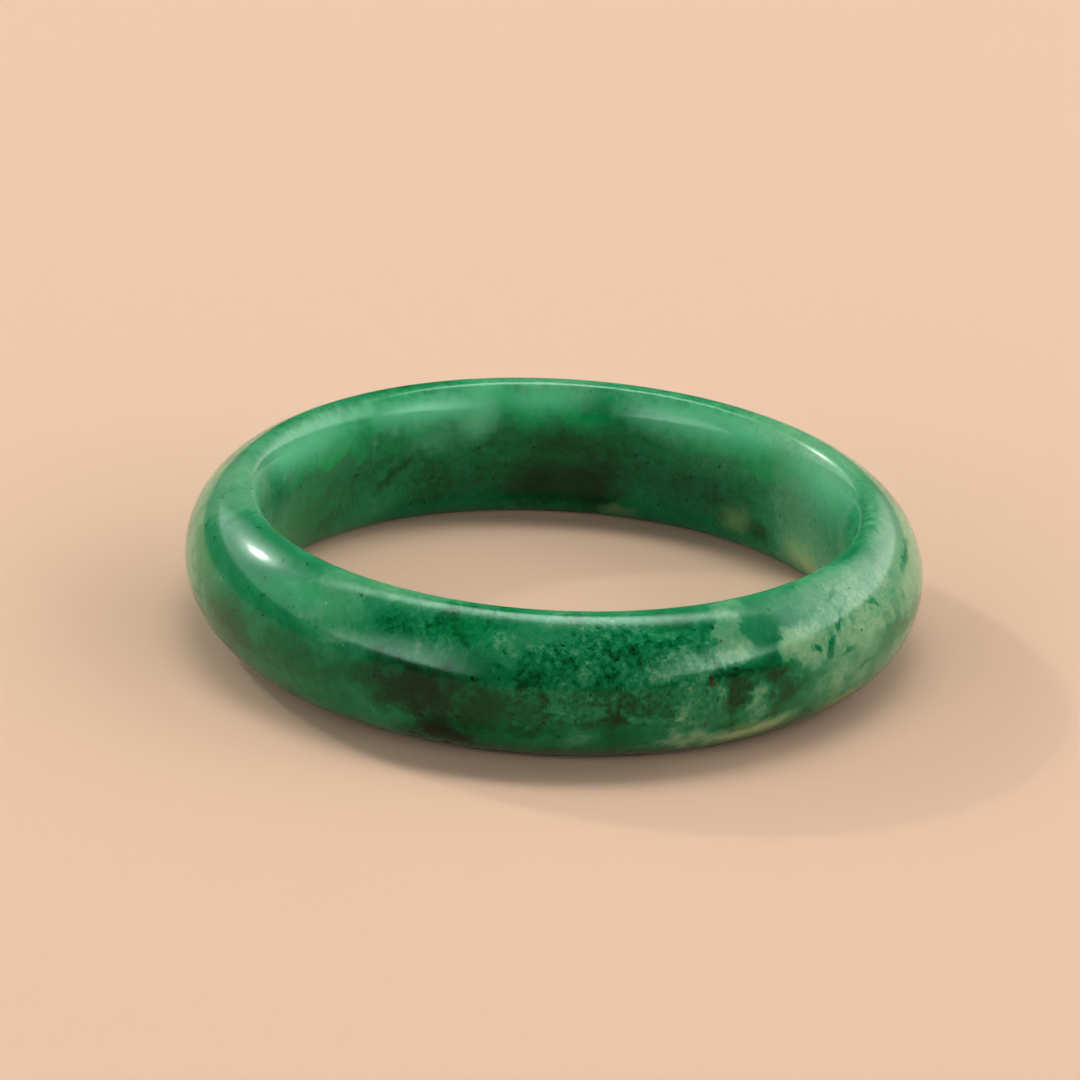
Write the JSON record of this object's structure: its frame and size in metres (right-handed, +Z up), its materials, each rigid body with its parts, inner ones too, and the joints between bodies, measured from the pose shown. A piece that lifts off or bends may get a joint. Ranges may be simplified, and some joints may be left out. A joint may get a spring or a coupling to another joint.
{
  "type": "bangle bracelet",
  "caption": "Rigid closed ring bangle cut from one piece of mottled green jade, with a domed, polished outer face and a flat inner wall that is well rounded towards both edges.",
  "frame": {"origin": "middle of the wrist hole, on the surface the bangle lies on", "axes": "+Z up along the wrist hole's axis; the ring is round about Z"},
  "size_m": [0.0716, 0.0716, 0.0142],
  "materials": {
    "jade": "polished green jade, translucent, cloudy pale and deep green with dark flecks"
  },
  "bodies": {
    "root": {"bangle": "jade"}
  },
  "joints": []
}
